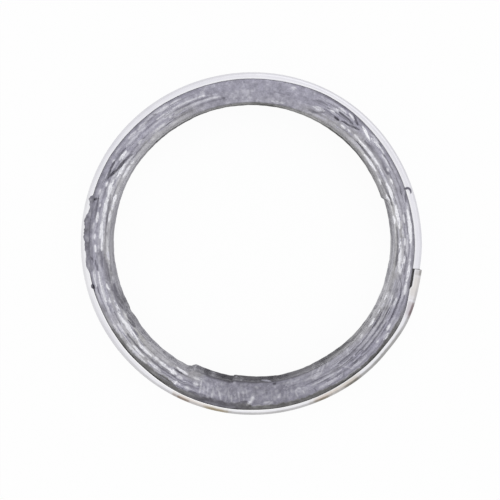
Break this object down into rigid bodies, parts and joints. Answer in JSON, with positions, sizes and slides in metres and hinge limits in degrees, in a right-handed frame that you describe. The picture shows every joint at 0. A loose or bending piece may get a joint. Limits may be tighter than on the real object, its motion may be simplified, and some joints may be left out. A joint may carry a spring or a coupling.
{
  "type": "exhaust gasket",
  "caption": "Flat round exhaust gasket: a pressed ring of wound steel wire and graphite, held by a rolled stainless band with turned-in lips.",
  "frame": {"origin": "centre of the ring, on its lower face", "axes": "+Z along the ring's axis from the lower face to the upper face; the band's joint is near +X, and the inner end of the wound strip is at 243 degrees anticlockwise from +X"},
  "size_m": [0.0444, 0.0444, 0.0053],
  "materials": {
    "wire_and_graphite": "pressed knitted wire filled with graphite",
    "stainless": "bright rolled sheet"
  },
  "bodies": {
    "root": {"wound_ring": "wire_and_graphite", "outer_band": "stainless"}
  },
  "joints": []
}
